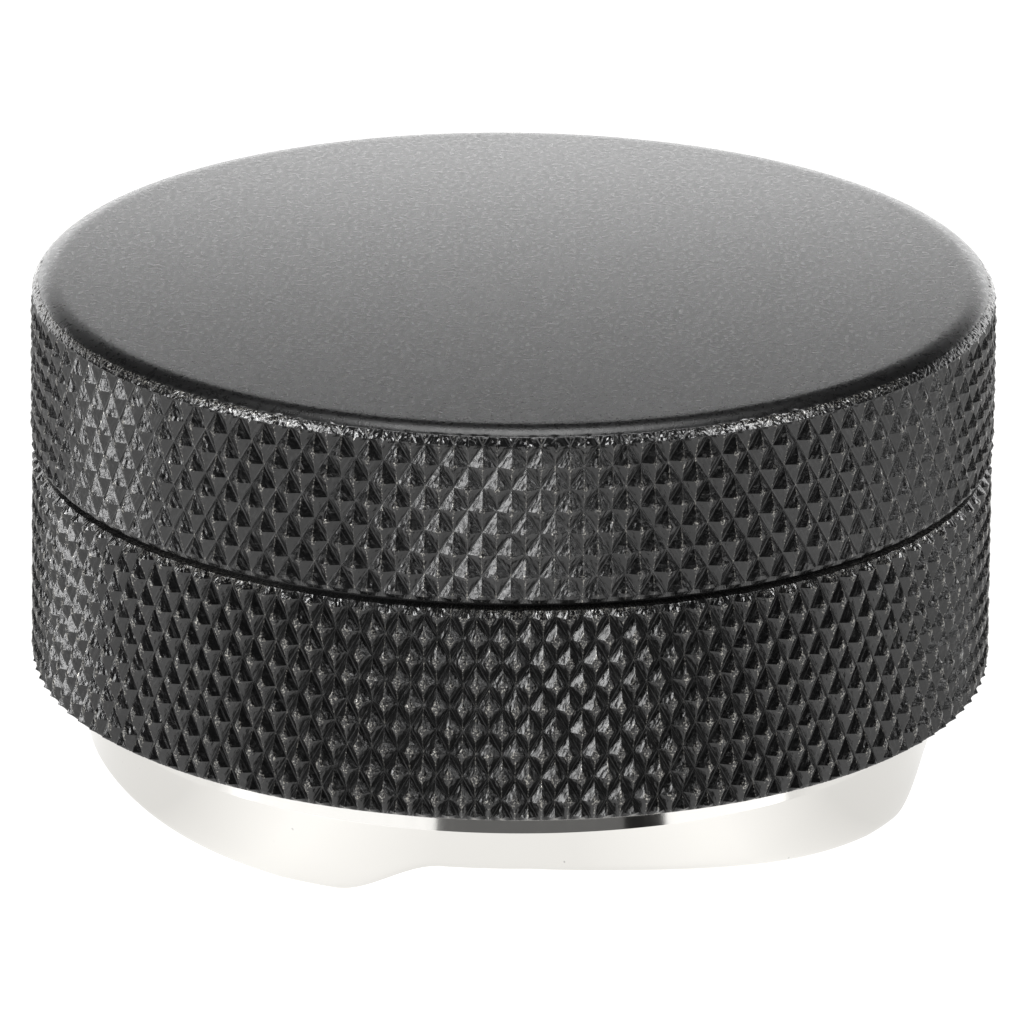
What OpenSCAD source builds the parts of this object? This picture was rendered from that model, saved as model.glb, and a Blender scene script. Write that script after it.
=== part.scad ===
// Adjustable espresso distributor and leveller of the palm type.
// A knurled depth collar runs on a threaded stem and rests on the basket's rim. A knurled palm cap
// on the same thread locks it. The polished base under them has four sloped blades.
// Z points up, the axis is the Z axis, and Z = 0 is the lowest point of the blade ridges.

/* [Grip] */
// Overall height, blade ridges to palm face
overall_h = 35; // [33:0.5:40]
// Radius over the knurl's crests on the palm cap
cap_grip_r = 33.05; // [31.5:0.05:35]
// Radius over the knurl's crests on the depth collar
collar_grip_r = 32.95; // [31.5:0.05:35]

/* [Palm cap] */
// Height of the palm cap
cap_h = 12.2; // [11:0.1:14]
// Thickness of the cap above its threaded bore
cap_roof = 2.5; // [2:0.1:3.5]
// Radius of the plain shoulder above the knurl
cap_shoulder_r = 32.77; // [31:0.01:34]
// Height of the plain shoulder and of its rounded edge
cap_edge_h = 0.85; // [0.5:0.05:1.5]

/* [Depth collar] */
// Height of the depth collar
collar_h = 15.1; // [12:0.1:17]
// Outer radius of the flat underside that rests on a basket
collar_seat_r = 32; // [31:0.1:32.5]
// Height of the chamfer between the knurl and that ring
collar_seat_chamfer_h = 0.4; // [0.2:0.1:1]
// Depth of the recess inside that flat ring, which the base can enter
collar_recess = 1.7; // [1:0.1:2]

/* [Lock washer] */
// Thickness of the washer between cap and collar, which is the gap seen between them
washer_t = 0.55; // [0.4:0.05:1]
// Outer radius of the washer
washer_r = 31.4; // [28:0.1:32]

/* [Thread] */
// Nominal radius of the stem's thread
thread_r = 22.5; // [20:0.5:24]
// Radial play between the stem and what runs on it
running_play = 0.05; // [0.02:0.01:0.1]
// Depth of the chamfers and run-outs at the thread's ends
thread_relief = 0.7; // [0.4:0.1:1]

/* [Base] */
// Radius of the base, which fits a basket of 58 to 58.7 mm
base_r = 29; // [26:0.05:29.25]
// Height of the base's flat top face
base_top = 6.05; // [5:0.05:6.5]
// Height of the tapered band between wall and top face
base_taper_h = 0.95; // [0.3:0.05:1.2]
// How far the tapered band draws in
base_taper_w = 0.21; // [0.05:0.01:0.4]
// How far the wall draws in towards the blade ridges, as a lead-in
base_lead_in = 0.08; // [0.02:0.01:0.2]
// Number of sloped blades
blades = 4; // [3:1:5]
// Height of the step from one blade's ridge to the next blade's valley
blade_step = 2.42; // [1.5:0.02:3]
// Direction of the first blade's valley, where its slope starts
blade_start = 3; // [0:1:89]

/* [Stem fastening] */
// Radius of the locating spigot on the base
spigot_r = 12; // [11:0.5:14]
// Height of the locating spigot
spigot_h = 3; // [2:0.5:4]
// Radius of the stem's hollow
hollow_r = 17; // [15:0.5:18.5]
// Thickness of the stem's floor over the spigot
stem_floor = 4; // [3:0.5:6]
// Number of screws that hold the stem to the base
screws = 4; // [3:1:6]
// Radius of the circle that the screws stand on
screw_circle_r = 8; // [7:0.25:8.5]

/* [Hidden] */

$fn = 96;
eps = 0.01;

// Heights, from the top down
cap_z = overall_h - cap_h;
collar_top = cap_z - washer_t;
collar_z = collar_top - collar_h;
// The roof of the cap's bore stays clear of the stem when the collar sits on the base
bore_roof = overall_h - cap_roof;
stem_top_gap = 0.4;
collar_drop = collar_z + collar_recess - base_top;
stem_top = bore_roof - collar_drop - stem_top_gap;

bore_r = thread_r + running_play;
grip_chamfer = 0.5;
seat_chamfer_w = collar_grip_r - collar_seat_r;
recess_r = base_r + 0.5;
runout_h = 1.5;

// Friction O-ring of the collar
ring_section_r = 0.75;
ring_r = thread_r + running_play + ring_section_r;
ring_z = collar_z + 4.2;
groove_r = ring_r + ring_section_r + running_play;
groove_half_h = ring_section_r + 0.1;

// M4 socket head screws
screw_r = 2;
screw_len = 8;
head_r = 3.5;
head_h = 4;
socket_flats = 3;
socket_depth = 2;
screw_hole_play = 0.05;
tapped_spare = 0.8;
spigot_top = base_top + spigot_h;
floor_top = spigot_top + stem_floor;
stem_neck_r = thread_r - 1.1;
stem_neck_h = 1.6;

// Blades: parts of one blade's turn, in degrees for a blade of 90 degrees
blade_pitch = 360 / blades;
ramp_a = blade_pitch * 55 / 90;
ridge_a = blade_pitch * 8 / 90;
step_a = blade_pitch * 15 / 90;
hub_z = blade_step * 0.52;
sweep_steps = 30 * blades;
cutter_r = base_r + 2;
cutter_z = -2;

// Cuts a convex corner at the origin to an arc; the solid lies towards -X and -Y
module corner_round(r) {
    difference() {
        translate([-r, -r]) square(r + 1);
        translate([-r, -r]) circle(r);
    }
}

// Cuts a convex corner at the origin to a flat, w along X and h along Y
module corner_flat(w, h) {
    polygon([[eps, -h], [-w, eps], [1, 1 + eps]]);
}

function smooth(t) = t <= 0 ? 0 : t >= 1 ? 1 : t * t * (3 - 2 * t);

// Height of the base's lower rim at the angle a: a long slope down, a ridge, and a short step up
function rim_rise(a) =
    let (p = a - blade_start - blade_pitch * floor((a - blade_start) / blade_pitch))
    p < ramp_a ? blade_step * (1 - p / ramp_a)
    : blade_step * smooth((p - ramp_a - ridge_a) / step_a);

// The space under the blades: every radial line runs straight from the hub to the rim
module under_blades() {
    n = sweep_steps;
    reach = cutter_r / base_r;
    turn = [for (i = [0:n - 1]) i * 360 / n];
    upper = [for (a = turn)
        [cutter_r * cos(a), cutter_r * sin(a), hub_z + (rim_rise(a) - hub_z) * reach]];
    lower = [for (a = turn) [cutter_r * cos(a), cutter_r * sin(a), cutter_z]];
    hub_top = 2 * n;
    hub_low = 2 * n + 1;
    polyhedron(
        points = concat(upper, lower, [[0, 0, hub_z], [0, 0, cutter_z]]),
        faces = [for (i = [0:n - 1]) let (j = (i + 1) % n) each [
            [hub_top, j, i],
            [hub_low, n + i, n + j],
            [i, j, n + j],
            [i, n + j, n + i]
        ]]);
}

module at_screws() {
    for (i = [0:screws - 1])
        rotate(45 + i * 360 / screws) translate([screw_circle_r, 0, 0]) children();
}

module palm_cap() {
    color([0.05, 0.05, 0.055])
    rotate_extrude() difference() {
        union() {
            translate([0, cap_z]) square([cap_grip_r, cap_h - cap_edge_h]);
            translate([0, cap_z]) square([cap_shoulder_r, cap_h]);
        }
        translate([cap_shoulder_r, overall_h]) corner_round(cap_edge_h);
        translate([cap_grip_r, cap_z]) mirror([0, 1]) corner_flat(grip_chamfer, grip_chamfer);
        // Threaded bore, its run-out under the roof and the chamfer at its mouth
        translate([-1, cap_z - 1]) square([bore_r + 1, bore_roof - cap_z + 1]);
        translate([0, bore_roof - runout_h]) square([bore_r + thread_relief, runout_h]);
        translate([bore_r, cap_z]) mirror([1, 1]) corner_flat(thread_relief, thread_relief);
    }
}

module depth_collar() {
    color([0.055, 0.055, 0.06])
    rotate_extrude() difference() {
        translate([bore_r, collar_z]) square([collar_grip_r - bore_r, collar_h]);
        translate([collar_grip_r, collar_top]) corner_flat(grip_chamfer, grip_chamfer);
        translate([collar_grip_r, collar_z])
            mirror([0, 1]) corner_flat(seat_chamfer_w, collar_seat_chamfer_h);
        translate([bore_r, collar_top]) mirror([1, 0]) corner_flat(thread_relief, thread_relief);
        // Recess inside the seat and the chamfer at the thread's mouth in it
        translate([bore_r - 1, collar_z - 1]) square([recess_r - bore_r + 1, collar_recess + 1]);
        translate([bore_r, collar_z + collar_recess])
            mirror([1, 1]) corner_flat(thread_relief, thread_relief);
        // Groove of the friction ring
        translate([bore_r - 1, ring_z - groove_half_h])
            square([groove_r - bore_r + 1, 2 * groove_half_h]);
    }
}

module lock_washer() {
    color([0.02, 0.02, 0.02])
    translate([0, 0, collar_top]) difference() {
        cylinder(r = washer_r, h = washer_t);
        translate([0, 0, -1]) cylinder(r = bore_r + thread_relief, h = washer_t + 2);
    }
}

module collar_o_ring() {
    color([0.02, 0.02, 0.02])
    rotate_extrude() translate([ring_r, ring_z]) circle(ring_section_r);
}

module threaded_stem() {
    color([0.75, 0.75, 0.76])
    difference() {
        rotate_extrude() difference() {
            translate([0, base_top]) square([thread_r, stem_top - base_top]);
            translate([thread_r, stem_top]) corner_flat(thread_relief, thread_relief);
            // Neck under the thread
            translate([stem_neck_r, base_top - 1]) square([thread_r, stem_neck_h + 1]);
            // Hollow above the floor and the pocket for the spigot
            translate([-1, floor_top]) square([hollow_r + 1, stem_top]);
            translate([-1, base_top - 1])
                square([spigot_r + running_play + 1, spigot_h + running_play + 1]);
        }
        at_screws() translate([0, 0, spigot_top - 1])
            cylinder(r = screw_r + screw_hole_play, h = stem_floor + 2);
    }
}

module distributor_base() {
    color([0.8, 0.8, 0.8])
    difference() {
        union() {
            rotate_extrude() difference() {
                square([base_r, base_top]);
                translate([base_r, base_top]) corner_flat(base_taper_w, base_taper_h);
                polygon([[base_r - base_lead_in, -eps], [base_r, blade_step + eps],
                         [base_r + 1, blade_step + eps], [base_r + 1, -eps]]);
            }
            translate([0, 0, base_top - 1]) cylinder(r = spigot_r, h = spigot_h + 1);
        }
        under_blades();
        at_screws() translate([0, 0, floor_top - screw_len - tapped_spare])
            cylinder(r = screw_r + screw_hole_play, h = screw_len);
    }
}

module base_screws() {
    color([0.3, 0.3, 0.3])
    at_screws() difference() {
        union() {
            translate([0, 0, floor_top]) cylinder(r = head_r, h = head_h);
            translate([0, 0, floor_top - screw_len]) cylinder(r = screw_r, h = screw_len + 1);
        }
        translate([0, 0, floor_top + head_h - socket_depth])
            cylinder(r = socket_flats / (2 * cos(30)), h = socket_depth + 1, $fn = 6);
    }
}

palm_cap();
depth_collar();
lock_washer();
collar_o_ring();
threaded_stem();
distributor_base();
base_screws();
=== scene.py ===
"""Looks of the palm distributor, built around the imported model. Lengths are in metres."""

import math
from collections import namedtuple

import bpy
import numpy as np
from mathutils import Matrix, Vector


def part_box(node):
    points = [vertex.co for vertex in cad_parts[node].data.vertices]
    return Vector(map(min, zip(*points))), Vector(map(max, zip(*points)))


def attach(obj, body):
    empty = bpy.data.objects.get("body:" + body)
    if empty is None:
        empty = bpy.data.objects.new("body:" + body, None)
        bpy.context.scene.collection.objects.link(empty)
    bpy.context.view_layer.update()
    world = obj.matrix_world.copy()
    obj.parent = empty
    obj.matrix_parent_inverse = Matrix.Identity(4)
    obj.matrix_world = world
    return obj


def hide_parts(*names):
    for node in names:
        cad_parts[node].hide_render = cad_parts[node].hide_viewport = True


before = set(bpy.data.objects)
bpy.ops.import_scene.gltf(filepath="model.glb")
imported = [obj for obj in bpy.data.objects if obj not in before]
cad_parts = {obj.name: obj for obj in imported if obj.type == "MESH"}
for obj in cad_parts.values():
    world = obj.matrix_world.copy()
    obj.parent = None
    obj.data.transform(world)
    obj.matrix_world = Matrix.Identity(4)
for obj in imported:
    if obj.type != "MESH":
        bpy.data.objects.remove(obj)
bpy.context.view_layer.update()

MM = 0.001
TAU = 2 * math.pi


# ---------------------------------------------------------------- places from the frame

def extent(node):
    """Outer radius, lowest and highest z of a node that is turned about the Z axis."""
    low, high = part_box(node)
    return (high[0] - low[0]) / 2, low[2], high[2]


CAP_R, CAP_LOW, CAP_TOP = extent("palm_cap")
COLLAR_R, COLLAR_LOW, COLLAR_TOP = extent("depth_collar")
BASE_R, BASE_LOW, SPIGOT_TOP = extent("distributor_base")
STEM_R, BASE_TOP, STEM_TOP = extent("threaded_stem")
RING_R, RING_LOW, RING_TOP = extent("collar_o_ring")

THREAD_PITCH = 1.5 * MM
THREAD_DEPTH = 0.85 * MM
RUNNING_PLAY = 0.05 * MM
BORE_R = STEM_R + RUNNING_PLAY
BORE_CHAMFER = 0.7 * MM


# ---------------------------------------------------------------- mesh helpers

def ring(radius, z, columns):
    """One row of points round the axis; radius and z are numbers or one value a column."""
    turn = np.arange(columns) * TAU / columns
    radius = np.broadcast_to(radius, columns)
    return np.stack([radius * np.cos(turn), radius * np.sin(turn), np.broadcast_to(z, columns)], 1)


def pole(z):
    return np.array([[0.0, 0.0, z]])


def skin(name, rows, falling=None):
    """A closed mesh over rows of points that run from the top pole or ring round to the last.

    falling[j][i] is True where the cell under row j is split from its upper left to its lower
    right corner. Split cells are shaded flat. Where falling or falling[j] is None, the cells
    stay smooth quads. If the first row isn't a pole, the last row joins the first, so the skin
    is a closed ring.
    """
    is_ring = len(rows[0]) > 1
    starts = np.cumsum([0] + [len(r) for r in rows])
    faces, soft = [], []
    pairs = [(j, j + 1) for j in range(len(rows) - 1)]
    if is_ring:
        pairs.append((len(rows) - 1, 0))
    for j, k in pairs:
        a, b = starts[j], starts[k]
        n = max(len(rows[j]), len(rows[k]))
        i = np.arange(n)
        m = (i + 1) % n
        if len(rows[j]) == 1:
            faces += np.stack([np.full(n, a), b + i, b + m], 1).tolist()
        elif len(rows[k]) == 1:
            faces += np.stack([a + m, a + i, np.full(n, b)], 1).tolist()
        elif falling is None or falling[j] is None:
            faces += np.stack([a + i, b + i, b + m, a + m], 1).tolist()
        else:
            down = np.concatenate([np.stack([a + i, b + i, b + m], 1)[falling[j]],
                                   np.stack([a + i, b + m, a + m], 1)[falling[j]]])
            up = np.concatenate([np.stack([a + i, b + i, a + m], 1)[~falling[j]],
                                 np.stack([a + m, b + i, b + m], 1)[~falling[j]]])
            faces += down.tolist() + up.tolist()
        soft += [falling is None or falling[j] is None] * (len(faces) - len(soft))
    mesh = bpy.data.meshes.new(name)
    mesh.from_pydata(np.concatenate(rows).tolist(), [], faces)
    mesh.polygons.foreach_set("use_smooth", np.array(soft))
    mesh.update()
    obj = bpy.data.objects.new(name, mesh)
    bpy.context.scene.collection.objects.link(obj)
    return obj


SUPPORT_GAP = 0.1 * MM  # how far a support point for the shading is from its corner


def arc(centre_r, centre_z, radius, start, end, steps):
    """Points (r, z) of an arc in the profile plane, from one angle to another in degrees."""
    angles = np.radians(np.linspace(start, end, steps + 1))
    return [(centre_r + radius * math.cos(a), centre_z + radius * math.sin(a)) for a in angles]


def edged(profile, gap):
    """The profile with a support point near both ends of every long stretch, which keeps the
    shading crisp at the corners."""
    points = [np.array(point) for point in profile]
    out = points[:1]
    for here, there in zip(points, points[1:]):
        step = there - here
        length = np.linalg.norm(step)
        if length > 3 * gap:
            out += [here + step / length * gap, there - step / length * gap]
        out.append(there)
    return [tuple(point) for point in out]


# ---------------------------------------------------------------- knurl

KNURL_CELLS = 12  # mesh cells along one diamond, both ways
RAGGED_H = 0.5 * MM  # how far the ragged edge reaches down from a knurl's upper end
RUN_OUT_H = 0.35 * MM  # height over which the grooves sink in to their full depth
RUN_OUT_CELL = 0.1 * MM
TORN_SPREAD = 0.013 * MM  # roughness that the knurling wheel leaves
TORN_BITE = 0.07 * MM  # depth of the deepest torn spots, which are rare

# start_z is a height where grooves cross, and full is how far the straight flanks reach up.
Knurl = namedtuple("Knurl", "crest_r depth around diamond_h start_z full")


def knurl_height(s, t, full):
    """Height of the knurl from 0 in the grooves to 1 on the crests, at s diamonds round and
    t diamonds up. The flanks rise straight to the share full of the way, then crown over."""
    u = s + t
    v = s - t
    q = 2 * np.minimum(np.abs(u - np.round(u)), np.abs(v - np.round(v)))
    crown = 0.2
    h = np.where(q < full, q, full + (q - full) * crown)
    return h / (full + (1 - full) * crown)


def knurled_band(knurl, low, high, run_out, envelope, seed):
    """Rows of a knurled band from high down to low, and how their cells are split.

    The grooves begin at the height run_out, and envelope(z) is the radius that the turned
    edges leave standing. Rows keep at least a third of a cell's height from both ends.
    """
    columns = knurl.around * KNURL_CELLS
    step = knurl.diamond_h / KNURL_CELLS
    first = math.ceil((low - knurl.start_z) / step + 1 / 3)
    last = math.floor((min(high, run_out) - knurl.start_z) / step - 1 / 3)
    rows_z = knurl.start_z + np.arange(first, last + 1) * step
    fine_z = np.arange(run_out, high - RUN_OUT_CELL / 3, RUN_OUT_CELL)
    rows_z = np.concatenate([[low], rows_z, fine_z, [high]])[::-1]
    s = np.arange(columns) / KNURL_CELLS
    rng = np.random.default_rng(seed)
    rows, splits = [], []
    for k, z in enumerate(rows_z):
        h = knurl_height(s, (z - knurl.start_z) / knurl.diamond_h, knurl.full)
        depth = knurl.depth * min(1.0, max(0.0, (run_out - z) / RUN_OUT_H))
        torn = np.abs(rng.normal(0, TORN_SPREAD, columns))
        torn += rng.random(columns) ** 7 * TORN_BITE
        ragged = 1 + 1.2 * max(0.0, 1 - (high - z) / RAGGED_H)
        torn *= (0.4 + 0.6 * h) * ragged
        r = np.minimum(knurl.crest_r - depth * (1 - h), envelope(z)) - torn
        rows.append(ring(r, z, columns))
        if k + 1 < len(rows_z):
            mid_t = ((z + rows_z[k + 1]) / 2 - knurl.start_z) / knurl.diamond_h
            mid_s = s + 0.5 / KNURL_CELLS
            u = mid_s + mid_t
            v = mid_s - mid_t
            splits.append(np.abs(u - np.round(u)) < np.abs(v - np.round(v)))
    return rows, splits, columns


# ---------------------------------------------------------------- palm cap

CAP_KNURL = Knurl(crest_r=CAP_R, depth=0.48 * MM, around=106, diamond_h=3.1 * MM,
                  start_z=1.44 * MM, full=0.9)
CAP_BLANK_R = CAP_R - 0.15 * MM  # the knurling raises the crests over the turned blank
CAP_CORNER_W = 1.9 * MM
CAP_CORNER_H = 1.25 * MM
CAP_CORNER_END = 41  # degrees; below this the torn edge of the knurl begins
CAP_TORN_TOP = CAP_TOP - 0.48 * MM
CAP_RUN_OUT = CAP_TOP - 0.88 * MM
CAP_CHAMFER = 0.5 * MM
CAP_ROOF = CAP_TOP - 2.5 * MM


def cap_envelope(z):
    lower = CAP_R - CAP_CHAMFER + max(0.0, min(CAP_CHAMFER, z - CAP_LOW))
    up = max(0.0, 1 - (CAP_TOP - z) / CAP_CORNER_H)
    upper = CAP_BLANK_R - CAP_CORNER_W * (1 - math.sqrt(1 - up * up))
    raised = (CAP_R - CAP_BLANK_R) * min(1.0, max(0.0, (CAP_RUN_OUT - z) / RUN_OUT_H))
    return min(lower, upper + raised)


def make_cap():
    band, splits, columns = knurled_band(CAP_KNURL, CAP_LOW, CAP_TORN_TOP, CAP_RUN_OUT,
                                         cap_envelope, 3)
    edge_r = CAP_BLANK_R - CAP_CORNER_W
    top = [(edge_r * share, CAP_TOP) for share in (0.4, 0.8, 0.985)]
    for turn in np.radians(np.linspace(90, CAP_CORNER_END, 9)):
        top.append((edge_r + CAP_CORNER_W * math.cos(turn),
                    CAP_TOP - CAP_CORNER_H * (1 - math.sin(turn))))
    bore = edged([(BORE_R + BORE_CHAMFER, CAP_LOW), (BORE_R, CAP_LOW + BORE_CHAMFER),
                  (BORE_R, CAP_ROOF)], SUPPORT_GAP)
    rows = [pole(CAP_TOP)] + [ring(r, z, columns) for r, z in top]
    before = len(rows)
    rows += band + [ring(r, z, columns) for r, z in bore] + [pole(CAP_ROOF)]
    falling = [None] * len(rows)
    falling[before:before + len(splits)] = splits
    return skin("cap_knurled", rows, falling)


# ---------------------------------------------------------------- depth collar

COLLAR_KNURL = Knurl(crest_r=COLLAR_R, depth=0.58 * MM, around=115, diamond_h=3.27 * MM,
                     start_z=2.15 * MM, full=0.72)
COLLAR_CHAMFER = 0.5 * MM
SEAT_R = 32 * MM
SEAT_CHAMFER_H = 0.4 * MM
RECESS_R = BASE_R + 0.5 * MM
RECESS_TOP = COLLAR_LOW + 1.7 * MM
GROOVE_PLAY = 0.1 * MM
GROOVE_R = RING_R + RUNNING_PLAY
GROOVE_LOW = RING_LOW - GROOVE_PLAY
GROOVE_TOP = RING_TOP + GROOVE_PLAY


def collar_envelope(z):
    down = COLLAR_R - COLLAR_CHAMFER + max(0.0, min(COLLAR_CHAMFER, COLLAR_TOP - z))
    up = SEAT_R + (COLLAR_R - SEAT_R) * (z - COLLAR_LOW) / SEAT_CHAMFER_H
    return min(down, up)


def make_collar():
    band, splits, columns = knurled_band(COLLAR_KNURL, COLLAR_LOW, COLLAR_TOP,
                                         COLLAR_TOP + RUN_OUT_H, collar_envelope, 5)
    inside = [(RECESS_R, COLLAR_LOW), (RECESS_R, RECESS_TOP),
              (BORE_R + BORE_CHAMFER, RECESS_TOP), (BORE_R, RECESS_TOP + BORE_CHAMFER),
              (BORE_R, GROOVE_LOW), (GROOVE_R, GROOVE_LOW),
              (GROOVE_R, GROOVE_TOP), (BORE_R, GROOVE_TOP),
              (BORE_R, COLLAR_TOP - BORE_CHAMFER), (BORE_R + BORE_CHAMFER, COLLAR_TOP)]
    rows = band + [ring(r, z, columns) for r, z in inside]
    # The turned faces inside are split too, so that they need no support points.
    flat = [np.zeros(columns, dtype=bool)] * (len(rows) - len(splits))
    return skin("collar_knurled", rows, splits + flat)


# ---------------------------------------------------------------- polished base

# Turns and the taper are in degrees.
BLADES = 4
BLADE_STEP = 2.42 * MM
BLADE_START = 3
BLADE_PITCH = 360 / BLADES
RAMP_TURN = 55
RIDGE_TURN = 8
STEP_TURN = 15
HUB_Z = BLADE_STEP * 0.52
SPIGOT_R = 12 * MM
BASE_TAPER_H = 0.95 * MM
BASE_TAPER = 12.5
BASE_EDGE = 0.12 * MM
RIM_EDGE = 0.45 * MM
BASE_COLUMNS = 1080
FACE_GAP = 0.05 * MM  # support points of the top face and the spigot
EDGE_GAP = 0.03 * MM  # support point under the rounded top edge
WALL_GAP = 0.02 * MM  # support points over and under the wall's upper end


def smooth(t):
    t = np.clip(t, 0, 1)
    return t * t * (3 - 2 * t)


def rim_rise(degrees):
    """Height of the lower rim over the blade ridges: a long slope, a ridge and a short step."""
    p = (degrees - BLADE_START) % BLADE_PITCH
    slope = np.clip(p / RAMP_TURN, 0, 1)
    eased = slope - np.sin(slope * TAU) / TAU * 0.35
    step = smooth((p - RAMP_TURN - RIDGE_TURN) / STEP_TURN)
    return BLADE_STEP * np.where(p < RAMP_TURN, 1 - eased, step)


def make_base():
    rise = rim_rise(np.arange(BASE_COLUMNS) * 360 / BASE_COLUMNS)
    foot = rise + RIM_EDGE
    taper = math.radians(BASE_TAPER)
    wall_top = BASE_TOP - BASE_TAPER_H
    drawn_in = (BASE_TAPER_H - BASE_EDGE * (1 - math.sin(taper))) * math.tan(taper)
    edge_r = BASE_R - drawn_in - BASE_EDGE * math.cos(taper)
    top = edged([(SPIGOT_R, SPIGOT_TOP), (SPIGOT_R, BASE_TOP), (edge_r, BASE_TOP)], FACE_GAP)
    top += arc(edge_r, BASE_TOP - BASE_EDGE, BASE_EDGE, 90, BASE_TAPER, 6)[1:]
    band_r, band_z = top[-1]
    top += [(band_r + EDGE_GAP * math.tan(taper), band_z - EDGE_GAP),
            (BASE_R - WALL_GAP * math.tan(taper), wall_top + WALL_GAP),
            (BASE_R, wall_top), (BASE_R, wall_top - WALL_GAP)]
    rows = [pole(SPIGOT_TOP)] + [ring(r, z, BASE_COLUMNS) for r, z in top]
    for share in (0.1, 0.35, 0.65, 0.9):
        rows.append(ring(BASE_R, wall_top + (foot - wall_top) * share, BASE_COLUMNS))
    inner = BASE_R - RIM_EDGE
    for a in np.radians(np.linspace(0, 90, 8)):
        z = rise + RIM_EDGE * (1 - math.sin(a))
        rows.append(ring(inner + RIM_EDGE * math.cos(a), z, BASE_COLUMNS))
    for share in (0.98, 0.9, 0.75, 0.6, 0.45, 0.3, 0.15, 0.05):
        rows.append(ring(inner * share, HUB_Z + (rise - HUB_Z) * share, BASE_COLUMNS))
    rows.append(pole(HUB_Z))
    return skin("base_polished", rows)


# ---------------------------------------------------------------- threaded stem

NECK_R = STEM_R - 1.1 * MM
NECK_H = 1.6 * MM
HOLLOW_R = 17 * MM
HOLLOW_LOW = SPIGOT_TOP + 4 * MM
STEM_CHAMFER = 0.9 * MM
FADE_TOP_H = 0.7 * MM  # heights over which the thread fades out
FADE_NECK_H = 0.5 * MM
STEM_COLUMNS = 240
THREAD_STEPS = 10


def make_stem():
    """The stem with its real helical thread, which fades out at the neck and at the top."""
    share = np.arange(STEM_COLUMNS) / STEM_COLUMNS
    low = BASE_TOP + NECK_H
    rows = [ring(r, z, STEM_COLUMNS) for r, z in
            edged([(HOLLOW_R, HOLLOW_LOW), (HOLLOW_R, STEM_TOP),
                   (STEM_R - STEM_CHAMFER, STEM_TOP)], SUPPORT_GAP)]
    count = int((STEM_TOP - low) / THREAD_PITCH * THREAD_STEPS)
    for z in np.linspace(STEM_TOP - 0.02 * MM, low, count):
        turn = (z / THREAD_PITCH - share) % 1
        flank = np.clip(np.abs(2 * turn - 1) * 1.3 - 0.15, 0, 1)
        fade = min(1.0, (STEM_TOP - z) / FADE_TOP_H, (z - low) / FADE_NECK_H + 0.05)
        root = STEM_R - THREAD_DEPTH
        rows.append(ring(root + (STEM_R - root) * flank * fade, z, STEM_COLUMNS))
    neck = edged([(NECK_R, low), (NECK_R, BASE_TOP)], SUPPORT_GAP)
    rows += [ring(r, z, STEM_COLUMNS) for r, z in neck]
    rows = [pole(HOLLOW_LOW)] + rows + [pole(BASE_TOP)]
    return skin("stem_threaded", rows)


# ---------------------------------------------------------------- materials

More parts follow.
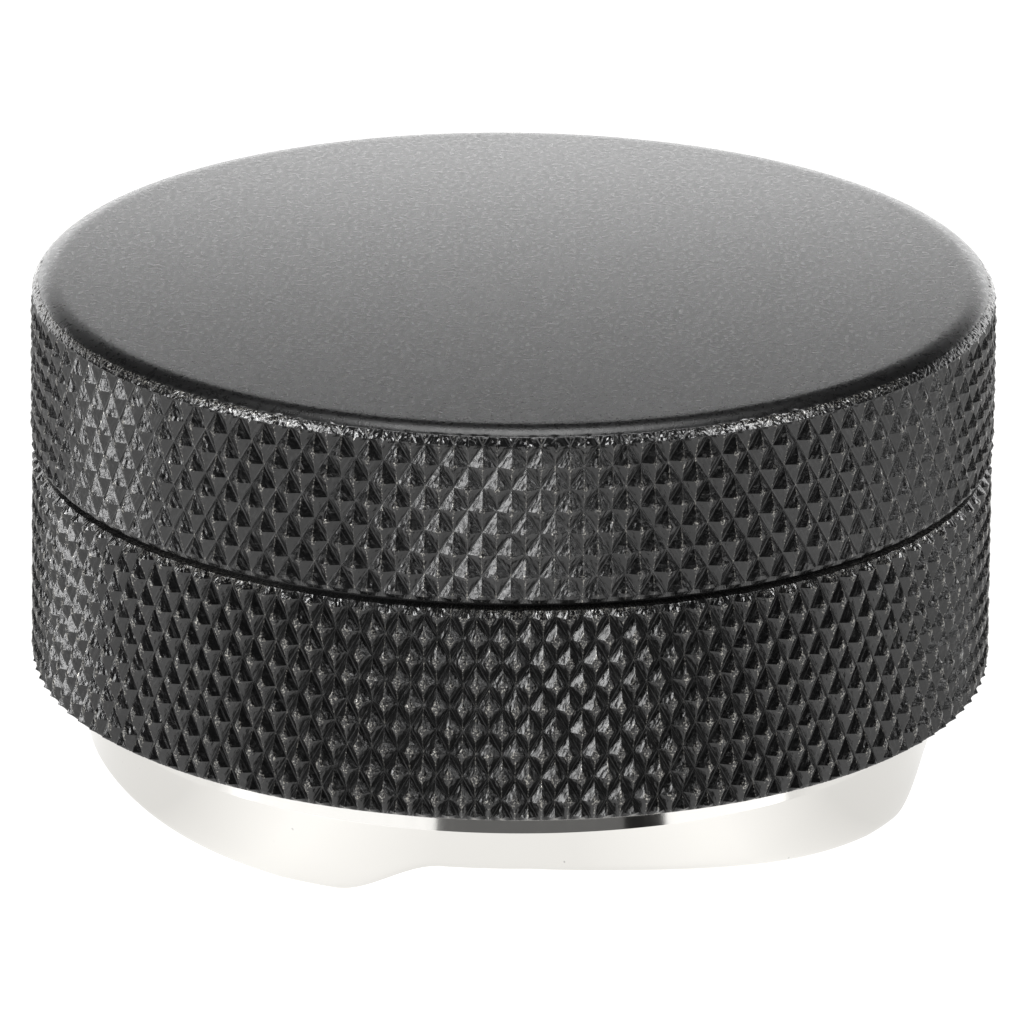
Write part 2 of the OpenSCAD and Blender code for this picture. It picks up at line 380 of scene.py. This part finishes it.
class Nodes:
    """A short way to write a material's node tree. Noise scales are in features a metre."""

    def __init__(self, name):
        self.material = bpy.data.materials.new(name)
        self.material.use_nodes = True
        self.tree = self.material.node_tree
        self.shader = self.tree.nodes["Principled BSDF"]
        self.place = self.add("ShaderNodeTexCoord").outputs["Object"]

    def add(self, kind, **values):
        node = self.tree.nodes.new(kind)
        for key, value in values.items():
            setattr(node, key, value)
        return node

    def link(self, output, socket):
        self.tree.links.new(output, socket)

    def feed(self, value, socket):
        """Sets a socket from a number, a colour or another node's output."""
        if isinstance(value, bpy.types.NodeSocket):
            self.link(value, socket)
        else:
            socket.default_value = (*value, 1) if isinstance(value, tuple) else value

    def noise(self, scale, detail=2.0, roughness=0.5, stretch=(1, 1, 1)):
        place = self.add("ShaderNodeMapping")
        place.inputs["Scale"].default_value = stretch
        self.link(self.place, place.inputs["Vector"])
        node = self.add("ShaderNodeTexNoise")
        node.inputs["Scale"].default_value = scale
        node.inputs["Detail"].default_value = detail
        node.inputs["Roughness"].default_value = roughness
        self.link(place.outputs["Vector"], node.inputs["Vector"])
        return node.outputs["Fac"]

    def span(self, value, low, high, to_low, to_high):
        node = self.add("ShaderNodeMapRange")
        for key, number in (("From Min", low), ("From Max", high),
                            ("To Min", to_low), ("To Max", to_high)):
            node.inputs[key].default_value = number
        self.link(value, node.inputs["Value"])
        return node.outputs["Result"]

    def math(self, operation, a, b):
        node = self.add("ShaderNodeMath", operation=operation)
        for socket, value in zip(node.inputs, (a, b)):
            self.feed(value, socket)
        return node.outputs["Value"]

    def mix(self, factor, a, b):
        node = self.add("ShaderNodeMix", data_type="RGBA")
        self.link(factor, node.inputs["Factor"])
        self.feed(a, node.inputs[6])
        self.feed(b, node.inputs[7])
        return node.outputs[2]

    def bump(self, height, strength, distance, before=None):
        node = self.add("ShaderNodeBump")
        node.inputs["Strength"].default_value = strength
        node.inputs["Distance"].default_value = distance
        self.link(height, node.inputs["Height"])
        if before is not None:
            self.link(before, node.inputs["Normal"])
        return node.outputs["Normal"]

    def radius(self):
        """Distance of the shaded point from the object's axis."""
        flat = self.add("ShaderNodeVectorMath", operation="MULTIPLY")
        flat.inputs[1].default_value = (1, 1, 0)
        self.link(self.place, flat.inputs[0])
        length = self.add("ShaderNodeVectorMath", operation="LENGTH")
        self.link(flat.outputs["Vector"], length.inputs[0])
        return length.outputs["Value"]

    def height(self):
        split = self.add("ShaderNodeSeparateXYZ")
        self.link(self.place, split.inputs["Vector"])
        return split.outputs["Z"]

    def knurl_lines(self, knurl):
        """Distances to the nearest groove, from 0 in its bottom to 0.5 on a crest, and to the
        nearest upright ridge between two flanks, from 0 to 0.5 as well."""
        split = self.add("ShaderNodeSeparateXYZ")
        self.link(self.place, split.inputs["Vector"])
        turn = self.math("ARCTAN2", split.outputs["Y"], split.outputs["X"])
        s = self.math("MULTIPLY", turn, knurl.around / TAU)
        rise = self.math("SUBTRACT", split.outputs["Z"], knurl.start_z)
        t = self.math("DIVIDE", rise, knurl.diamond_h)
        groove = self.math("MINIMUM", self.math("PINGPONG", self.math("ADD", s, t), 0.5),
                           self.math("PINGPONG", self.math("SUBTRACT", s, t), 0.5))
        return groove, self.math("PINGPONG", self.math("MULTIPLY", s, 2), 0.5)

    def drawn_lines(self, distance, lines, wander):
        """Fine lines along the knurl's flanks, beside the grooves that the wheel has rolled."""
        across = self.add("ShaderNodeCombineXYZ")
        self.link(self.math("MULTIPLY", distance, lines), across.inputs["X"])
        place = self.add("ShaderNodeVectorMath", operation="MULTIPLY_ADD")
        self.link(self.place, place.inputs[0])
        place.inputs[1].default_value = (wander, wander, wander)
        self.link(across.outputs["Vector"], place.inputs[2])
        node = self.add("ShaderNodeTexNoise")
        node.inputs["Scale"].default_value = 1
        node.inputs["Detail"].default_value = 1
        self.link(place.outputs["Vector"], node.inputs["Vector"])
        return node.outputs["Fac"]

    def finish(self, colour, roughness, normal, metallic=0):
        self.link(colour, self.shader.inputs["Base Color"])
        self.link(roughness, self.shader.inputs["Roughness"])
        self.link(normal, self.shader.inputs["Normal"])
        self.shader.inputs["Metallic"].default_value = metallic
        self.shader.inputs["IOR"].default_value = 1.5
        return self.material


BLAST_EDGE = 0.02 * MM  # half the height over which the blasted face gives way to the knurl
GRAIN = 0.03 * MM  # depth of the fine grain's bump
TORN_GRAIN = 0.06 * MM  # depth of the coarser grain's bump in the knurl


def anodised(name, knurl, blasted_above):
    """Black anodised aluminium: a fine blasted grain on the smooth faces, and in the knurl
    fine lines on the flanks and bare burrs along the torn crests. A lighter colour along the
    groove bottoms, the flank lines and the upright ridges is painted highlight."""
    n = Nodes(name)
    fine = n.noise(7500, 2, 0.6)
    coarse = n.noise(2600, 2, 0.6)
    blasted = n.span(n.height(), blasted_above - BLAST_EDGE, blasted_above + BLAST_EDGE, 0, 1)
    knurled = n.math("SUBTRACT", 1, blasted)
    groove, ridge = n.knurl_lines(knurl)
    patches = n.span(n.noise(600, 1), 0.4, 0.6, 0, 1)
    crest = n.span(n.radius(), knurl.crest_r - knurl.depth * 0.3, knurl.crest_r, 0, 1)
    # Painted highlight: a lighter line along the upright ridges.
    ridge_highlight = n.span(ridge, 0.012, 0.03, 0.6, 0)
    ridge = n.math("MULTIPLY", n.span(ridge, 0.02, 0.07, 0.8, 0), patches)
    run_out = n.span(n.height(), blasted_above - 0.5 * MM, blasted_above - 0.2 * MM, 0, 0.4)
    run_out = n.math("MULTIPLY", run_out, n.span(n.noise(70), 0.48, 0.56, 0, 1))
    worn = n.math("MAXIMUM", n.math("MAXIMUM", crest, ridge), run_out)
    fleck = n.math("MULTIPLY", worn, n.span(fine, 0.54, 0.66, 0, 1))
    fleck = n.math("MULTIPLY", fleck, knurled)
    # Painted highlight: the groove bottoms get a lighter colour for light caught in the rounded
    # grooves; they are rougher as well.
    groove_highlight = n.math("MULTIPLY", n.span(groove, 0.012, 0.035, 1, 0), knurled)
    lines = n.drawn_lines(groove, 16, 700)
    # Painted highlight: a lighter colour along the fine flank lines, which are real bumps as well.
    drawn_line_highlight = n.math("MULTIPLY", n.span(lines, 0.58, 0.7, 0, 0.35), knurled)
    painted_highlight = n.math("MAXIMUM", n.math("MULTIPLY", groove_highlight, n.span(patches, 0, 1, 0.3, 1)), drawn_line_highlight)
    painted_highlight = n.math("MAXIMUM", painted_highlight, n.math("MULTIPLY", ridge_highlight, knurled))
    # Painted highlight: the knurl's dark colour turns lighter along its grooves, flank lines and
    # ridges.
    colour = n.mix(painted_highlight, (0.0022, 0.0022, 0.0023), (0.04, 0.04, 0.04))
    colour = n.mix(fleck, colour, (0.42, 0.405, 0.37))
    n.link(fleck, n.shader.inputs["Metallic"])
    facet = n.span(coarse, 0.3, 0.7, 0.17, 0.25)
    roughness = n.math("MULTIPLY", facet, n.span(blasted, 0, 1, 1, 1.4))
    roughness = n.math("ADD", roughness, n.math("MULTIPLY", groove_highlight, 0.2))
    torn = n.math("MULTIPLY", coarse, n.span(blasted, 0, 1, 1, 0.12))
    normal = n.bump(fine, 0.45, GRAIN)
    normal = n.bump(n.math("MULTIPLY", lines, knurled), 0.5, GRAIN, normal)
    normal = n.bump(torn, 0.5, TORN_GRAIN, normal)
    return n.finish(colour, roughness, normal)


def polished_steel():
    """Mirror-polished stainless steel with fine upright polishing lines and rare specks."""
    n = Nodes("polished_steel")
    lines = n.noise(900, 3, 0.6, stretch=(1, 1, 0.12))
    pits = n.span(n.noise(1500, 1, 0.5), 0.785, 0.82, 0, 1)
    colour = n.mix(pits, (0.61, 0.6, 0.578), (0.42, 0.413, 0.398))
    roughness = n.span(lines, 0.3, 0.7, 0.05, 0.1)
    normal = n.bump(lines, 0.04, 0.02 * MM)
    return n.finish(colour, roughness, normal, metallic=1.0)


def turned_steel(name, tint):
    """Satin metal with fine lines round the axis, as turning leaves them."""
    n = Nodes(name)
    lines = n.noise(2500, 3, 0.6, stretch=(0.05, 0.05, 1))
    colour = n.mix(lines, tint, tuple(0.8 * c for c in tint))
    roughness = n.span(lines, 0.3, 0.7, 0.22, 0.36)
    return n.finish(colour, roughness, n.bump(lines, 0.2, GRAIN), metallic=1.0)


def black_soft(name, base_roughness):
    """Matt black plastic or rubber."""
    n = Nodes(name)
    grain = n.noise(4000, 2, 0.5)
    colour = n.mix(grain, (0.006, 0.006, 0.006), (0.014, 0.014, 0.014))
    roughness = n.span(grain, 0.3, 0.7, base_roughness, base_roughness + 0.12)
    return n.finish(colour, roughness, n.bump(grain, 0.2, GRAIN))


def dress(obj, material):
    obj.data.materials.clear()
    obj.data.materials.append(material)


# ---------------------------------------------------------------- assembly

anodised_cap = anodised("anodised_cap", CAP_KNURL, CAP_TORN_TOP)
anodised_collar = anodised("anodised_collar", COLLAR_KNURL, COLLAR_TOP)
steel = polished_steel()

for build, material, body, node, slot in (
        (make_cap, anodised_cap, "cap", "palm_cap", "cap_anodised"),
        (make_collar, anodised_collar, "collar", "depth_collar", "collar_anodised"),
        (make_base, steel, "base", "distributor_base", "base_polished"),
        (make_stem, turned_steel("turned_steel", (0.62, 0.61, 0.59)), "base", "threaded_stem",
         "stem_steel")):
    piece = build()
    dress(piece, material)
    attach(piece, body)
    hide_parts(node)

for node, material in (("lock_washer", black_soft("nylon", 0.5)),
                       ("collar_o_ring", black_soft("rubber", 0.6)),
                       ("base_screws", turned_steel("black_oxide", (0.09, 0.09, 0.095)))):
    dress(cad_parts[node], material)


# ---------------------------------------------------------------- floor, light and camera

FLOOR_HALF = 1.5
MIDDLE = (0, 0, 0.02)  # the lights' usual target, about the middle of the part


def make_floor():
    """A pale floor that glows, as a white table lit from below does. The glow is strongest
    on both sides of the front, where the base's wall mirrors it."""
    mesh = bpy.data.meshes.new("floor")
    half = FLOOR_HALF
    mesh.from_pydata([(-half, -half, 0), (half, -half, 0), (half, half, 0), (-half, half, 0)],
                     [], [(0, 1, 2, 3)])
    floor = bpy.data.objects.new("floor", mesh)
    bpy.context.scene.collection.objects.link(floor)
    n = Nodes("pale_floor")
    n.shader.inputs["Base Color"].default_value = (0.1, 0.1, 0.1, 1)
    n.shader.inputs["Roughness"].default_value = 0.9
    n.shader.inputs["Emission Color"].default_value = (1, 0.995, 0.985, 1)
    split = n.add("ShaderNodeSeparateXYZ")
    n.link(n.place, split.inputs["Vector"])
    turn = n.math("ARCTAN2", split.outputs["X"], n.math("MULTIPLY", split.outputs["Y"], -1))
    turn = n.math("ABSOLUTE", turn, 0)  # radians from the front, to either side
    rise = n.span(turn, 0.2, 0.6, 1.16, 1.4)
    fall = n.span(turn, 0.68, 1.1, 1, 0.72)
    glow = n.math("MULTIPLY", rise, fall)
    n.link(glow, n.shader.inputs["Emission Strength"])
    dress(floor, n.material)


def aim(azimuth, elevation, distance):
    """A place round the part, from degrees to the right of the front and above the floor."""
    turn, lift = math.radians(azimuth), math.radians(elevation)
    away = Vector((math.sin(turn) * math.cos(lift), -math.cos(turn) * math.cos(lift),
                   math.sin(lift)))
    return Vector(MIDDLE) + away * distance


def soft_light(name, place, target, width, height, power):
    """A rectangle of light that faces the target and stays out of the camera's view."""
    data = bpy.data.lights.new(name, "AREA")
    data.shape = "RECTANGLE"
    data.size, data.size_y = width, height
    data.energy = power
    light = bpy.data.objects.new(name, data)
    bpy.context.scene.collection.objects.link(light)
    light.location = place
    light.rotation_mode = "QUATERNION"
    light.rotation_quaternion = (Vector(target) - Vector(place)).to_track_quat("-Z", "Y")
    light.visible_camera = False


def make_lights():
    soft_light("back_upper", (0, 0.08, 0.0485), (0, 0, 0.0485), 0.4, 0.021, 0.093)
    soft_light("back_lower", (0, 0.08, 0.0225), (0, 0, 0.0225), 0.4, 0.025, 0.045)
    soft_light("overhead", (0, 0.08, 0.52), MIDDLE, 0.24, 0.3, 1.25)
    soft_light("left_box", aim(-57, 15, 0.4), MIDDLE, 0.13, 0.13, 0.73)
    soft_light("left_upper", aim(-62, 38, 0.4), MIDDLE, 0.13, 0.13, 1.6)
    soft_light("right_box", aim(45, 23, 0.4), MIDDLE, 0.08, 0.08, 0.1)
    soft_light("right_mid", aim(64, 15, 0.4), MIDDLE, 0.035, 0.045, 0.07)
    soft_light("right_upper", aim(58, 38, 0.4), MIDDLE, 0.13, 0.13, 1.3)
    soft_light("left_card", (-0.29, -0.25, 0.0225), (0, 0, 0.0225), 0.46, 0.045, 0.104)
    soft_light("right_card", (0.34, -0.205, 0.0225), (0, 0, 0.0225), 0.26, 0.045, 0.062)
    soft_light("front_card", (0.05, -0.4, 0.04), (0.05, 0, 0.04), 0.36, 0.08, 0.0151)
    world = bpy.data.worlds.new("studio")
    bpy.context.scene.world = world
    world.use_nodes = True
    shade = world.node_tree.nodes["Background"]
    shade.inputs["Color"].default_value = (1, 1, 1, 1)
    shade.inputs["Strength"].default_value = 0.02


def make_camera():
    """A long lens 19.3 degrees above the horizon, with a slight roll."""
    distance = 1.1526
    elevation = math.radians(19.344)
    roll = math.radians(0.634)
    target = Vector((0.04 * MM, 0, CAP_TOP - 17.15 * MM))
    back = Vector((0, -math.cos(elevation), math.sin(elevation)))
    right = Vector((1, 0, 0))
    up = back.cross(right)
    right, up = (math.cos(roll) * right + math.sin(roll) * up,
                 math.cos(roll) * up - math.sin(roll) * right)
    data = bpy.data.cameras.new("camera")
    data.sensor_width = 36
    data.lens = 590.3
    data.clip_end = 10
    camera = bpy.data.objects.new("camera", data)
    bpy.context.scene.collection.objects.link(camera)
    camera.matrix_world = (Matrix.Translation(target + back * distance)
                           @ Matrix((right, up, back)).transposed().to_4x4())
    bpy.context.scene.camera = camera


make_floor()
make_lights()
make_camera()
bpy.context.scene.view_settings.view_transform = "Standard"
